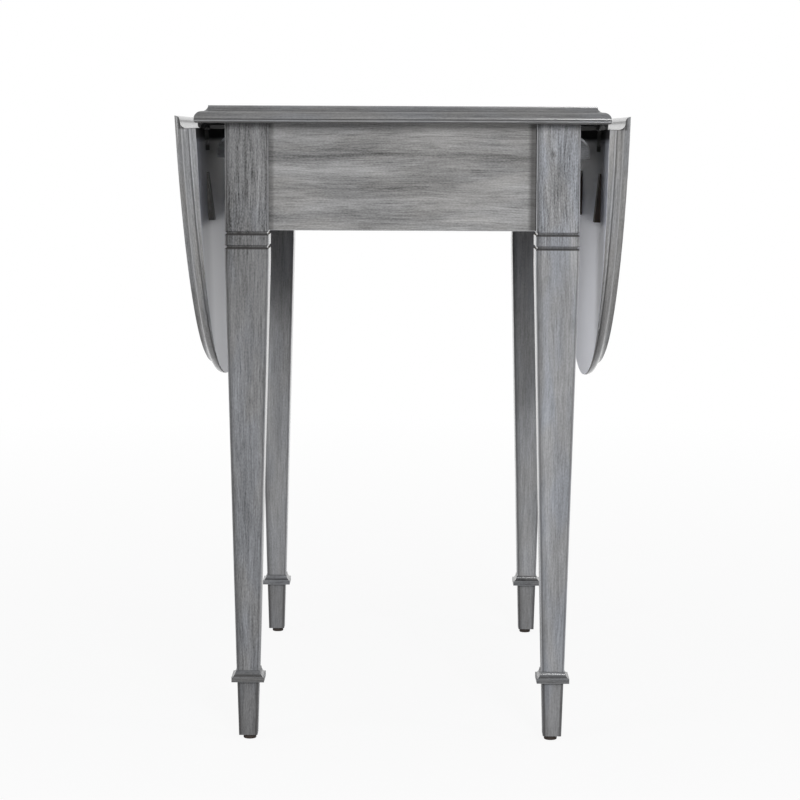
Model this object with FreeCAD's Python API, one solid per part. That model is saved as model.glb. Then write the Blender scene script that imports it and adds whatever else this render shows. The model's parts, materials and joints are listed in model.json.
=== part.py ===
"""Drop-leaf side table with two rounded leaves, built piece by piece.

X runs across the table from the left leaf to the right leaf, Y runs from the
front end to the back end, Z is up. The origin is on the floor, under the
middle of the top. Both leaves hang down. All lengths are in millimetres and
all angles in degrees.
"""
import FreeCAD, Part
import math
import os

Vector = FreeCAD.Vector

# Overall sizes
table_height = 635.0
table_length = 635.0
top_thickness = 17.0
leaf_thickness = 21.0
flat_half_width = 189.6
cut_overrun = 5.0

# Edge mouldings of the top and the leaves
joint_cavetto_r = 5.7
joint_ovolo_r = 7.5
joint_gap = 0.6
joint_under_round = 2.2
edge_cavetto_r = 5.6
edge_ovolo_r = 7.4
edge_quirk = 0.7
edge_bead_r = 1.2

# Leaves: the drop is less than half the length, and the corner arcs are a little tighter still
leaf_drop_setback = 50.6
leaf_corner_setback = 10.9
left_rest_tilt = 3.4
right_rest_tilt = 2.0
underside_taper = 1.6
taper_past_hinge = 2.0
pin_inset = 1.2
pin_above_leaf_underside = 0.7

# Legs
leg_block = 43.0
end_overhang = 24.0
side_overhang = 28.3
leg_arris_r = 0.9
groove_width = 3.2
groove_depth = 1.7
groove_bevel = 0.9
upper_groove_below_apron = 1.0
groove_pitch = 13.6
taper_below_groove = 15.0
neck_width = 22.8
foot_top_width = 21.6
foot_bottom_width = 18.5

# Mitred collars
collar_width = 32.6
collar_bottom = 60.0
collar_height = 11.2
collar_fillet_height = 5.2
collar_fillet_step = 1.2
collar_lip = 0.8

# Glides
glide_r = 6.5
glide_height = 4.6
glide_edge_r = 0.9
glide_offset = 1.2
nail_head_r = 2.4
nail_head_height = 0.8
nail_shank_r = 1.1
nail_depth = 14.0
nail_recess = 1.1

# Aprons
apron_thickness = 18.0
apron_recess = 4.0
apron_height = 105.0
tenon_thickness = 8.0
tenon_length = 20.0
tenon_height = 80.0
tenon_below_top = 12.0
mortise_clearance = 0.1

# Corner blocks and leg bolts
block_reach = 45.0
block_height = 44.0
block_above_apron_bottom = 7.0
bolt_r = 3.0
bolt_bite = 25.0
bolt_head_flats = 10.0
bolt_head_height = 4.0
washer_r = 8.0
washer_thickness = 1.5
hole_clearance = 0.1

# Cleats that hold the top down
cleat_section = 18.0
cleat_end_gap = 6.5
cleat_screw_margin = 30.0

# Wood screws
wood_screw_length = 28.0
wood_screw_r = 2.0
wood_screw_head_r = 3.9
wood_screw_head_height = 2.2
screw_tip_height = 3.0
screw_tip_r = 0.4
screw_clearance = 0.05
screw_slot_width = 0.8
screw_slot_depth = 0.7

# Pull-out slides that carry the raised leaves
slide_width = 19.0
slide_height = 24.0
slide_drop = 10.5
slide_nose_reach = 17.5
slide_nose_r = 18.0
slide_tail_gap = 8.0
slide_clearance = 0.4
slide_travel = 54.0
front_slides_from_end = 89.0
slide_pair_spacing = 264.0
stop_pin_r = 3.0
stop_pin_rise = 7.5
stop_pin_depth = 10.0

# Guide rails and keepers under the top
rail_width = 18.0
keeper_width = 30.0
keeper_thickness = 6.0
keeper_spacing = 140.0

# Wedges under the leaves
wedge_start = 46.0
wedge_end = 95.0
wedge_thin = 1.0
wedge_thick = 6.0

# Hinges
hinge_length = 50.0
hinge_from_end = 104.0
barrel_r = 2.9
hinge_pin_r = 1.4
hinge_pin_clearance = 0.05
plate_thickness = 1.6
fixed_plate_reach = 26.0
moving_plate_reach = 24.0
knuckle_gap = 0.3
barrel_notch_clearance = 0.4
hinge_screw_length = 12.0
hinge_screw_r = 1.5
hinge_screw_head_r = 3.0
hinge_screw_head_height = 1.5
hinge_screw_inset = 8.0
hinge_screw_end_margin = 8.0

# Levels and places worked out from the sizes above
top_underside = table_height - top_thickness
leaf_underside = table_height - leaf_thickness
half_length = table_length / 2
leaf_drop = half_length - leaf_drop_setback
leaf_corner_r = leaf_drop - leaf_corner_setback
joint_edge_x = flat_half_width + joint_cavetto_r + joint_ovolo_r
leaf_joint_x = joint_edge_x + joint_gap
leaf_tip_x = flat_half_width + joint_gap
pin_x = joint_edge_x - pin_inset
pin_z = leaf_underside + pin_above_leaf_underside
taper_start_x = pin_x + moving_plate_reach + taper_past_hinge
barrel_room_r = barrel_r + barrel_notch_clearance
edge_moulding_width = edge_cavetto_r + edge_ovolo_r

leg_outer_x = joint_edge_x - side_overhang
leg_inner_x = leg_outer_x - leg_block
leg_outer_y = half_length - end_overhang
leg_inner_y = leg_outer_y - leg_block
leg_centre_x = leg_outer_x - leg_block / 2
leg_centre_y = leg_outer_y - leg_block / 2

collar_top = collar_bottom + collar_height
glide_centre = Vector(leg_centre_x - glide_offset, leg_centre_y, 0)

apron_bottom = top_underside - apron_height
tenon_top = top_underside - tenon_below_top
side_apron_outer = leg_outer_x - apron_recess
side_apron_inner = side_apron_outer - apron_thickness
end_apron_outer = leg_outer_y - apron_recess
end_apron_inner = end_apron_outer - apron_thickness
cleat_half_length = leg_inner_x - cleat_end_gap
cleat_screw_spacing = cleat_half_length - cleat_screw_margin

slide_top = top_underside - slide_drop
slide_bottom = slide_top - slide_height
slide_nose_x = side_apron_outer + slide_nose_reach
guide_floor = slide_bottom - slide_clearance
front_slides_y = -half_length + front_slides_from_end
slide_pitch = slide_width + slide_clearance
hinge_centre_y = half_length - hinge_from_end - hinge_length / 2

left, right = -1, 1
front, back = -1, 1
side_names = {left: "left", right: "right"}
leaf_swing = {left: 90 + left_rest_tilt, right: 90 + right_rest_tilt}
end_names = {front: "front", back: "back"}
front_row, rear_row = 0, 1
row_names = {front_row: "front", rear_row: "rear"}

along_y = Vector(0, 1, 0)
up = Vector(0, 0, 1)
slantwise = Vector(1, 1, 0) / math.sqrt(2)


def save(name, shapes):
    """Write one named sub-part as a STEP file."""
    solids = [solid for shape in shapes for solid in shape.Solids]
    Part.makeCompound(solids).exportStep("parts/" + name + ".step")


def box(x_range, y_range, z_range):
    """Box between two limits along each axis, given in any order."""
    low = Vector(min(x_range), min(y_range), min(z_range))
    high = Vector(max(x_range), max(y_range), max(z_range))
    size = high - low
    return Part.makeBox(size.x, size.y, size.z, low)


def cylinder(radius, start, end):
    """Round bar from one point to another."""
    return Part.makeCylinder(radius, (end - start).Length, start, end - start)


def to_side(shape, side):
    """Mirror a shape built for the right side when it belongs on the left."""
    if side == right:
        return shape
    return shape.mirror(Vector(), Vector(1, 0, 0))


def to_corner(shape, side, end):
    """Mirror a shape built for the back right corner into any corner."""
    shape = to_side(shape, side)
    if end == back:
        return shape
    return shape.mirror(Vector(), Vector(0, 1, 0))


def prism(points, z_range):
    """Upright prism over a flat outline of (x, y) points."""
    low, high = z_range
    corners = [Vector(x, y, low) for x, y in points]
    face = Part.Face(Part.makePolygon(corners + corners[:1]))
    return face.extrude(up * (high - low))


class Outline:
    """Chain of straight lines and arcs; place(u, v) puts a flat point in space."""

    def __init__(self, place, u, v):
        self.place = place
        self.end = (u, v)
        self.start = (u, v)
        self.edges = []

    def line(self, u, v):
        self.edges.append(Part.makeLine(self.place(*self.end), self.place(u, v)))
        self.end = (u, v)
        return self

    def arc(self, centre, start_angle, end_angle):
        radius = math.hypot(self.end[0] - centre[0], self.end[1] - centre[1])

        def at(angle):
            turn = math.radians(angle)
            return centre[0] + radius * math.cos(turn), centre[1] + radius * math.sin(turn)

        middle = at((start_angle + end_angle) / 2)
        finish = at(end_angle)
        curve = Part.Arc(self.place(*self.end), self.place(*middle), self.place(*finish))
        self.edges.append(curve.toShape())
        self.end = finish
        return self

    def face(self):
        self.line(*self.start)
        return Part.Face(Part.Wire(self.edges))


def rounded_square(width, z):
    """Square outline with rounded corners, for the legs."""
    half = width / 2
    straight = half - leg_arris_r
    outline = Outline(lambda u, v: Vector(u, v, z), -straight, -half)
    outline.line(straight, -half).arc((straight, -straight), -90, 0)
    outline.line(half, straight).arc((straight, straight), 0, 90)
    outline.line(-straight, half).arc((-straight, straight), 90, 180)
    outline.line(-half, -straight).arc((-straight, -straight), 180, 270)
    return Part.Wire(outline.edges)


def aimed(shape, start, direction):
    """Turn a shape built up along Z so that it starts at a point and follows a direction."""
    shape = shape.copy()
    turn = FreeCAD.Rotation(up, direction)
    shape.Placement = FreeCAD.Placement(start, turn)
    return shape


def screw(length, radius, head_r, head_height, grow=0):
    """Countersunk screw from its head at the origin up to its tip; grow gives its hole."""
    shank_end = length - screw_tip_height
    head = Part.makeCone(head_r + grow, radius + grow, head_height)
    shank = Part.makeCylinder(radius + grow, shank_end - head_height, Vector(0, 0, head_height))
    tip = Part.makeCone(radius + grow, screw_tip_r + grow, screw_tip_height + grow,
                        Vector(0, 0, shank_end))
    shape = head.fuse([shank, tip]).removeSplitter()
    if grow:
        return shape
    slot = box((-head_r, head_r), (-screw_slot_width / 2, screw_slot_width / 2), (0, screw_slot_depth))
    return shape.cut(slot)


def wood_screw(start, direction, grow=0):
    shape = screw(wood_screw_length, wood_screw_r, wood_screw_head_r, wood_screw_head_height, grow)
    return aimed(shape, start, direction)


def hinge_screw(start, direction, grow=0):
    shape = screw(hinge_screw_length, hinge_screw_r, hinge_screw_head_r, hinge_screw_head_height, grow)
    return aimed(shape, start, direction)


def drilled(shape, places, make_screw):
    """Cut the holes of screws given as (start, direction) pairs."""
    return shape.cut([make_screw(start, direction, screw_clearance) for start, direction in places])


# Edge moulding that runs round the ends of the top and the curved rim of the leaves

def edge_moulding_waste(place, underside):
    """Face of the wood cut away outside the moulding; u runs inwards from the rim."""
    step_z = table_height - edge_cavetto_r
    ovolo_end_z = step_z - edge_ovolo_r
    bead_top_z = ovolo_end_z - edge_quirk
    bead_centre_z = bead_top_z - edge_bead_r
    outline = Outline(place, edge_moulding_width, table_height + cut_overrun)
    outline.line(edge_moulding_width, table_height)
    outline.arc((edge_ovolo_r, table_height), 0, -90)
    outline.arc((edge_ovolo_r, ovolo_end_z), 90, 180)
    outline.line(edge_bead_r, ovolo_end_z)
    outline.line(edge_bead_r, bead_top_z)
    outline.arc((edge_bead_r, bead_centre_z), 90, 270)
    outline.line(edge_bead_r, underside - cut_overrun)
    outline.line(-cut_overrun, underside - cut_overrun)
    outline.line(-cut_overrun, table_height + cut_overrun)
    return outline.face()


def joint_waste_of_top():
    """Wood cut off the right edge of the top: a hollow above a round, rounded under."""
    step_z = table_height - joint_cavetto_r
    step_x = flat_half_width + joint_cavetto_r
    round_end_z = step_z - joint_ovolo_r
    shoulder = Outline(lambda u, v: Vector(u, -half_length - cut_overrun, v),
                       flat_half_width, table_height + cut_overrun)
    shoulder.line(flat_half_width, table_height)
    shoulder.arc((step_x, table_height), 180, 270)
    shoulder.arc((step_x, round_end_z), 90, 0)
    shoulder.line(joint_edge_x + cut_overrun, round_end_z)
    shoulder.line(joint_edge_x + cut_overrun, table_height + cut_overrun)
    round_x = joint_edge_x - joint_under_round
    round_z = top_underside + joint_under_round
    under = Outline(lambda u, v: Vector(u, -half_length - cut_overrun, v), joint_edge_x, round_z)
    under.arc((round_x, round_z), 0, -90)
    under.line(round_x, top_underside - cut_overrun)
    under.line(joint_edge_x + cut_overrun, top_underside - cut_overrun)
    under.line(joint_edge_x + cut_overrun, round_z)
    run = Vector(0, table_length + cut_overrun * 2, 0)
    return [shoulder.face().extrude(run), under.face().extrude(run)]


def hinge_centres():
    return [(row, end * hinge_centre_y) for row, end in ((front_row, front), (rear_row, back))]


def along_hinge(centre_y):
    """Places of the three screws of one hinge leaf along its length."""
    spread = hinge_length / 2 - hinge_screw_end_margin
    return [centre_y - spread, centre_y, centre_y + spread]


def fixed_hinge_screws(side, centre_y):
    """Start and direction of the screws that hold a hinge to the top."""
    x = pin_x - fixed_plate_reach + hinge_screw_inset
    z = top_underside - plate_thickness
    return [(Vector(side * x, y, z), up) for y in along_hinge(centre_y)]


def moving_hinge_screws(centre_y):
    """The same for a raised right leaf."""
    x = pin_x + moving_plate_reach - hinge_screw_inset
    return [(Vector(x, y, leaf_underside), up) for y in along_hinge(centre_y)]


def cleat_screws(end):
    """Start and direction of the screws of one cleat: up into the top, then into the apron."""
    low_z = top_underside - cleat_section
    inner_y = end * (end_apron_inner - cleat_section)
    middle_y = end * (end_apron_inner - cleat_section / 2)
    middle_z = top_underside - cleat_section / 2
    places = []
    for step in (-1, 0, 1):
        x = step * cleat_screw_spacing
        places.append((Vector(x, middle_y, low_z), up))
    for step in (-1, 1):
        x = step * cleat_screw_spacing / 2
        places.append((Vector(x, inner_y, middle_z), along_y * end))
    return places


def table_top():
    blank = box((-joint_edge_x, joint_edge_x), (-half_length, half_length), (top_underside, table_height))
    for side in (left, right):
        for waste in joint_waste_of_top():
            blank = blank.cut(to_side(waste, side))
    run = Vector(2 * (joint_edge_x + cut_overrun), 0, 0)
    start_x = -joint_edge_x - cut_overrun
    for end in (front, back):
        waste = edge_moulding_waste(lambda u, v: Vector(start_x, end * (half_length - u), v), top_underside)
        blank = blank.cut(waste.extrude(run))
    for side in (left, right):
        for _, centre_y in hinge_centres():
            blank = drilled(blank, fixed_hinge_screws(side, centre_y), hinge_screw)
    for end in (front, back):
        blank = drilled(blank, cleat_screws(end), wood_screw)
    return blank


# Leaves, built raised on the right side and then hung

def leaf_rim():
    """Centre and radius of the side arcs and the middle arc of the leaf, seen from above."""
    side_y = half_length - leaf_corner_r
    offset = (side_y ** 2 - leaf_corner_setback ** 2) / (leaf_corner_setback * 2)
    middle_r = leaf_drop + offset
    join_angle = math.degrees(math.atan2(side_y, offset))
    return side_y, leaf_joint_x - offset, middle_r, join_angle


def leaf_blank():
    side_y, middle_x, _, join_angle = leaf_rim()
    outline = Outline(lambda u, v: Vector(u, v, leaf_underside), leaf_tip_x, -half_length)
    outline.line(leaf_joint_x, -half_length)
    outline.arc((leaf_joint_x, -side_y), -90, -join_angle)
    outline.arc((middle_x, 0), -join_angle, join_angle)
    outline.arc((leaf_joint_x, side_y), join_angle, 90)
    outline.line(leaf_tip_x, half_length)
    return outline.face().extrude(Vector(0, 0, leaf_thickness))


def leaf_joint_waste():
    """Wood cut off the leaf under its lip, to match the edge of the top."""
    step_x = flat_half_width + joint_cavetto_r
    step_z = table_height - joint_cavetto_r
    round_end_z = step_z - joint_ovolo_r
    outline = Outline(lambda u, v: Vector(u, -half_length - cut_overrun, v),
                      leaf_tip_x, table_height + cut_overrun)
    outline.line(leaf_tip_x, table_height)
    outline.arc((step_x, table_height), 180, 270)
    outline.arc((step_x, round_end_z), 90, 0)
    outline.line(leaf_joint_x, leaf_underside - cut_overrun)
    outline.line(leaf_tip_x - cut_overrun, leaf_underside - cut_overrun)
    outline.line(leaf_tip_x - cut_overrun, table_height + cut_overrun)
    return outline.face().extrude(Vector(0, table_length + cut_overrun * 2, 0))


def underside_at(x):
    """Height of a raised leaf's underside, which rises outwards past the hinges."""
    return leaf_underside + max(0, x - taper_start_x) * math.tan(math.radians(underside_taper))


def leaf_underside_waste():
    """Wood planed off under the leaf, from the hinges out to the rim."""
    end_x = leaf_joint_x + leaf_drop + cut_overrun
    outline = Outline(lambda u, v: Vector(u, -half_length - cut_overrun, v), taper_start_x, leaf_underside)
    outline.line(end_x, underside_at(end_x))
    outline.line(end_x, leaf_underside - cut_overrun)
    outline.line(taper_start_x, leaf_underside - cut_overrun)
    return outline.face().extrude(Vector(0, table_length + cut_overrun * 2, 0))


def leaf_rim_waste():
    """Wood cut away by the moulding along the ends of the lip and round the three arcs."""
    side_y, middle_x, middle_r, join_angle = leaf_rim()
    start_x = leaf_tip_x - cut_overrun
    run = Vector(leaf_joint_x - start_x, 0, 0)
    solids = []
    for end in (front, back):
        waste = edge_moulding_waste(lambda u, v: Vector(start_x, end * (half_length - u), v), leaf_underside)
        solids.append(waste.extrude(run))
    arcs = (
        (leaf_joint_x, -side_y, leaf_corner_r, -90, -join_angle),
        (middle_x, 0, middle_r, -join_angle, join_angle),
        (leaf_joint_x, side_y, leaf_corner_r, join_angle, 90),
    )
    for centre_x, centre_y, radius, start_angle, end_angle in arcs:
        centre = Vector(centre_x, centre_y, 0)
        outwards = Vector(math.cos(math.radians(start_angle)), math.sin(math.radians(start_angle)), 0)
        waste = edge_moulding_waste(lambda u, v: centre + outwards * (radius - u) + up * v, leaf_underside)
        solids.append(waste.revolve(centre, up, end_angle - start_angle))
    return solids


def hung(shape, side):
    """Swing a raised right-hand shape down to its hanging place on either side."""
    shape = shape.copy()
    shape.rotate(Vector(pin_x, 0, pin_z), along_y, leaf_swing[side])
    return to_side(shape, side)


def raised_leaf():
    shape = leaf_blank().cut(leaf_joint_waste()).cut(leaf_rim_waste()).cut(leaf_underside_waste())
    for _, centre_y in hinge_centres():
        recess = box((pin_x, pin_x + moving_plate_reach), hinge_span(centre_y),
                     (leaf_underside - cut_overrun, leaf_underside + plate_thickness))
        shape = shape.cut([recess, barrel(barrel_room_r, hinge_span(centre_y))])
        shape = drilled(shape, moving_hinge_screws(centre_y), hinge_screw)
    return shape


def raised_wedge(side, row):
    """Tapered block under a leaf; the slide of that side and row bears on it."""
    low_y, _ = slide_limits(side, row)
    start_x = pin_x + wedge_start
    end_x = pin_x + wedge_end
    outline = Outline(lambda u, v: Vector(u, low_y, v), start_x, underside_at(start_x))
    outline.line(start_x, underside_at(start_x) - wedge_thin)
    outline.line(end_x, underside_at(end_x) - wedge_thick)
    outline.line(end_x, underside_at(end_x))
    return outline.face().extrude(Vector(0, slide_width, 0))


# Hinges

def hinge_span(centre_y):
    return centre_y - hinge_length / 2, centre_y + hinge_length / 2


def barrel(radius, y_range):
    """Cylinder round the axis of the right-hand hinges."""
    return cylinder(radius, Vector(pin_x, y_range[0], pin_z), Vector(pin_x, y_range[1], pin_z))


def knuckles(centre_y):
    """Spans of the three knuckles of a hinge; the middle one moves with the leaf."""
    start = centre_y - hinge_length / 2
    length = (hinge_length - knuckle_gap * 2) / 3
    return [(start + n * (length + knuckle_gap), start + n * (length + knuckle_gap) + length)
            for n in range(3)]


def pin_bore(centre_y):
    return barrel(hinge_pin_r + hinge_pin_clearance, hinge_span(centre_y))


def fixed_hinge(centre_y):
    """Plate under the top with the two outer knuckles, on the right."""
    first, _, last = knuckles(centre_y)
    plate_z = (top_underside - plate_thickness, top_underside)
    plate = box((pin_x - fixed_plate_reach, pin_x), hinge_span(centre_y), plate_z)
    room = box((pin_x - barrel_room_r, pin_x), (first[1], last[0]), plate_z)
    shape = plate.cut(room).fuse([barrel(barrel_r, first), barrel(barrel_r, last)])
    shape = shape.removeSplitter().cut(pin_bore(centre_y))
    return drilled(shape, fixed_hinge_screws(right, centre_y), hinge_screw)


def raised_moving_hinge(centre_y):
    """Plate let into the underside of the raised right leaf, with the middle knuckle."""
    _, middle, _ = knuckles(centre_y)
    plate_z = (leaf_underside, leaf_underside + plate_thickness)
    plate = box((pin_x + barrel_room_r, pin_x + moving_plate_reach), hinge_span(centre_y), plate_z)
    tongue = box((pin_x, pin_x + barrel_room_r), middle, plate_z)
    shape = plate.fuse([tongue, barrel(barrel_r, middle)]).removeSplitter().cut(pin_bore(centre_y))
    return drilled(shape, moving_hinge_screws(centre_y), hinge_screw)


# Legs, collars and glides, built for the back right corner

def lofted(levels):
    """Square post through (height, width) levels."""
    return Part.makeLoft([rounded_square(width, z) for z, width in levels], True, True)


def groove_levels(groove_top):
    floor_width = leg_block - groove_depth * 2
    groove_end = groove_top - groove_width
    return [(groove_top, leg_block), (groove_top - groove_bevel, floor_width),
            (groove_end + groove_bevel, floor_width), (groove_end, leg_block)]


def side_tenon(grow=0):
    """Bar through the shoulder of the side apron: its tenon, or its mortise when grown."""
    middle = (side_apron_inner + side_apron_outer) / 2
    half = tenon_thickness / 2 + grow
    return box((middle - half, middle + half),
               (leg_inner_y - tenon_length, leg_inner_y + tenon_length + grow),
               (tenon_top - tenon_height - grow, tenon_top + grow))


def end_tenon(grow=0):
    """The same for the end apron."""
    middle = (end_apron_inner + end_apron_outer) / 2
    half = tenon_thickness / 2 + grow
    return box((leg_inner_x - tenon_length, leg_inner_x + tenon_length + grow),
               (middle - half, middle + half),
               (tenon_top - tenon_height - grow, tenon_top + grow))


def leg():
    upper_groove = apron_bottom - upper_groove_below_apron
    lower_groove = upper_groove - groove_pitch
    taper_start = lower_groove - groove_width - taper_below_groove
    levels = [(top_underside, leg_block)]
    levels += groove_levels(upper_groove)
    levels += groove_levels(lower_groove)
    levels += [(taper_start, leg_block), (collar_top, neck_width), (collar_bottom, neck_width)]
    foot = lofted([(collar_bottom, foot_top_width), (glide_height, foot_bottom_width)])
    shape = lofted(levels).fuse(foot)
    shape.translate(Vector(leg_centre_x, leg_centre_y, 0))
    nail_hole = cylinder(nail_shank_r + hole_clearance, glide_centre,
                         glide_centre + up * (glide_height + nail_depth + hole_clearance))
    return shape.cut([side_tenon(mortise_clearance), end_tenon(mortise_clearance), bolt_hole(), nail_hole])


def collar():
    """Four mitred strips of moulding round the leg: a flat band with a hollow above it."""
    outer = collar_width / 2
    inner = neck_width / 2
    hollow_start = outer - collar_fillet_step
    hollow_end = inner + collar_lip
    band_top = collar_bottom + collar_fillet_height
    rise = collar_top - band_top
    run = hollow_start - hollow_end
    hollow_r = (run ** 2 + rise ** 2) / (run * 2)
    hollow_centre = (hollow_end + hollow_r, collar_top)
    start_angle = 180 + math.degrees(math.atan2(rise, hollow_r - run))
    outline = Outline(lambda u, v: Vector(u, -outer, v), inner, collar_bottom)
    outline.line(outer, collar_bottom)
    outline.line(outer, band_top)
    outline.line(hollow_start, band_top)
    outline.arc(hollow_centre, start_angle, 180)
    outline.line(inner, collar_top)
    strip = outline.face().extrude(Vector(0, collar_width, 0))
    mitred = strip.common(prism([(0, 0), (outer, -outer), (outer, outer)], (collar_bottom, collar_top)))
    strips = []
    for quarter in range(4):
        turned = mitred.copy()
        turned.rotate(Vector(), up, quarter * 90)
        turned.translate(Vector(leg_centre_x, leg_centre_y, 0))
        strips.append(turned)
    return strips


def glide():
    """Round pad under the foot and the nail that holds it."""
    pad = Part.makeCylinder(glide_r, glide_height, glide_centre)
    lower_edge = [edge for edge in pad.Edges if edge.BoundBox.ZMax < glide_edge_r]
    pad = pad.makeFillet(glide_edge_r, lower_edge)
    head_start = glide_centre + up * nail_recess
    head_end = head_start + up * nail_head_height
    nail_end = glide_centre + up * (glide_height + nail_depth)
    head = cylinder(nail_head_r, head_start, head_end)
    nail = head.fuse(cylinder(nail_shank_r, head_end, nail_end))
    head_room = cylinder(nail_head_r + hole_clearance, glide_centre, head_end)
    shank_room = cylinder(nail_shank_r + hole_clearance, glide_centre, nail_end)
    return [pad.cut([head_room, shank_room]), nail]


# Aprons, corner blocks and cleats

def side_apron(side):
    shape = box((side_apron_inner, side_apron_outer), (-leg_inner_y, leg_inner_y),
                (apron_bottom, top_underside))
    shape = shape.fuse([to_corner(side_tenon(), right, end) for end in (front, back)]).removeSplitter()
    for row in row_names:
        low_y, high_y = slide_limits(side, row)
        slot = box((side_apron_inner - cut_overrun, side_apron_outer + cut_overrun),
                   (low_y - slide_clearance, high_y + slide_clearance),
                   (guide_floor, slide_top + slide_clearance))
        shape = shape.cut(slot)
    return to_side(shape, side)


def end_apron(end):
    shape = box((-leg_inner_x, leg_inner_x), (end_apron_inner, end_apron_outer),
                (apron_bottom, top_underside))
    shape = shape.fuse([to_side(end_tenon(), side) for side in (left, right)]).removeSplitter()
    shape = to_corner(shape, right, end)
    return drilled(shape, cleat_screws(end), wood_screw)


def bolt_seat():
    """Middle of the slanted face of the back right corner block."""
    throat = (block_reach - (side_apron_inner - leg_inner_x)) / 2
    z = apron_bottom + block_above_apron_bottom + block_height / 2
    return Vector(leg_inner_x - throat, leg_inner_y - throat, z)


def bolt_end():
    """Tip of the bolt inside the leg."""
    seat = bolt_seat()
    return Vector(leg_inner_x, leg_inner_y, seat.z) + slantwise * bolt_bite


def bolt_hole():
    return cylinder(bolt_r + hole_clearance, bolt_seat() - slantwise * cut_overrun,
                    bolt_end() + slantwise * hole_clearance)


def corner_block():
    """Block glued in the corner behind the leg, with a slanted face for the bolt."""
    low_z = apron_bottom + block_above_apron_bottom
    points = [
        (leg_inner_x, leg_inner_y),
        (side_apron_inner, leg_inner_y),
        (side_apron_inner, leg_inner_y - block_reach),
        (leg_inner_x - block_reach, end_apron_inner),
        (leg_inner_x, end_apron_inner),
    ]
    return prism(points, (low_z, low_z + block_height)).cut(bolt_hole())


def leg_bolt():
    """Hexagon bolt and its washer, drawn from the back right corner block into the leg."""
    washer_start = bolt_seat() - slantwise * washer_thickness
    washer = cylinder(washer_r, washer_start, bolt_seat())
    washer = washer.cut(cylinder(bolt_r + hole_clearance, washer_start, bolt_seat()))
    head_corner_r = bolt_head_flats / math.sqrt(3)
    corners = [Vector(math.cos(math.radians(60 * n)), math.sin(math.radians(60 * n)), 0) * head_corner_r
               for n in range(7)]
    head = Part.Face(Part.makePolygon(corners)).extrude(up * bolt_head_height)
    head = aimed(head, washer_start - slantwise * bolt_head_height, slantwise)
    shank = cylinder(bolt_r, washer_start, bolt_end())
    return [washer, head.fuse(shank)]


def cleat(end):
    shape = box((-cleat_half_length, cleat_half_length),
                (end * (end_apron_inner - cleat_section), end * end_apron_inner),
                (top_underside - cleat_section, top_underside))
    return drilled(shape, cleat_screws(end), wood_screw)


# Pull-out slides and what guides them

def slide_limits(side, row):
    """Front and back of one slide; the left slide lies just behind the right one."""
    start = front_slides_y + row * slide_pair_spacing
    if side == left:
        start += slide_pitch
    return start, start + slide_width


def pair_limits(row):
    """Front and back of the channel that holds both slides of a row."""
    return slide_limits(right, row)[0] - slide_clearance, slide_limits(left, row)[1] + slide_clearance


def stop_pin_foot(side, row):
    """Bottom of the stop dowel of a slide, on the right-hand side."""
    low_y, high_y = slide_limits(side, row)
    x = side_apron_inner - slide_travel - stop_pin_r - slide_clearance
    return Vector(x, (low_y + high_y) / 2, slide_top - stop_pin_depth)


def slide(side, row):
    low_y, _ = slide_limits(side, row)
    tail_x = slide_tail_gap - side_apron_inner
    outline = Outline(lambda u, v: Vector(u, low_y, v), tail_x, slide_bottom)
    outline.line(slide_nose_x, slide_bottom)
    outline.line(slide_nose_x, slide_top - slide_nose_r)
    outline.arc((slide_nose_x - slide_nose_r, slide_top - slide_nose_r), 0, 90)
    outline.line(tail_x, slide_top)
    bar = outline.face().extrude(Vector(0, slide_width, 0))
    foot = stop_pin_foot(side, row)
    hole = cylinder(stop_pin_r + hole_clearance, foot, foot + up * (stop_pin_depth + cut_overrun))
    return to_side(bar.cut(hole), side)


def stop_pin(side, row):
    foot = stop_pin_foot(side, row)
    return to_side(cylinder(stop_pin_r, foot, foot + up * (stop_pin_depth + stop_pin_rise)), side)


def guide_rails():
    """Rails from the front to the back, one on each outer side of each row of slides."""
    rails = []
    for row in row_names:
        low_y, high_y = pair_limits(row)
        for y_range in ((low_y - rail_width, low_y), (high_y, high_y + rail_width)):
            rail = box((-side_apron_inner, side_apron_inner), y_range, (guide_floor, top_underside))
            rails.append(drilled(rail, keeper_screws(row), wood_screw))
    return rails


def keeper_screws(row):
    """Start and direction of the screws that hold the keepers of a row to its rails."""
    low_y, high_y = pair_limits(row)
    rail_centres = (low_y - rail_width / 2, high_y + rail_width / 2)
    return [(Vector(side * keeper_spacing / 2, y, guide_floor - keeper_thickness), up)
            for side in (left, right) for y in rail_centres]


def guide_keepers(row):
    """Two flat bars under the rails that hold the slides up."""
    low_y, high_y = pair_limits(row)
    keepers = []
    for side in (left, right):
        middle_x = side * keeper_spacing / 2
        keeper = box((middle_x - keeper_width / 2, middle_x + keeper_width / 2),
                     (low_y - rail_width, high_y + rail_width),
                     (guide_floor - keeper_thickness, guide_floor))
        keepers.append(drilled(keeper, keeper_screws(row), wood_screw))
    return keepers


# Screws in groups

def hinge_screws_in_top():
    return [hinge_screw(start, direction)
            for side in (left, right)
            for _, centre_y in hinge_centres()
            for start, direction in fixed_hinge_screws(side, centre_y)]


def hinge_screws_in_leaf(side):
    return [hung(hinge_screw(start, direction), side)
            for _, centre_y in hinge_centres()
            for start, direction in moving_hinge_screws(centre_y)]


def frame_screws():
    """Leg bolts with washers, and the screws of cleats and keepers."""
    places = cleat_screws(front) + cleat_screws(back)
    for row in row_names:
        places += keeper_screws(row)
    shapes = [wood_screw(start, direction) for start, direction in places]
    for side in (left, right):
        for end in (front, back):
            shapes += [to_corner(shape, side, end) for shape in leg_bolt()]
    return shapes


def save_corner_pieces():
    pieces = {"leg": [leg()], "collar": collar(), "glide": glide(), "corner_block": [corner_block()]}
    for side, side_name in side_names.items():
        for end, end_name in end_names.items():
            for name, shapes in pieces.items():
                placed = [to_corner(shape, side, end) for shape in shapes]
                save(name + "_" + end_name + "_" + side_name, placed)


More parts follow.
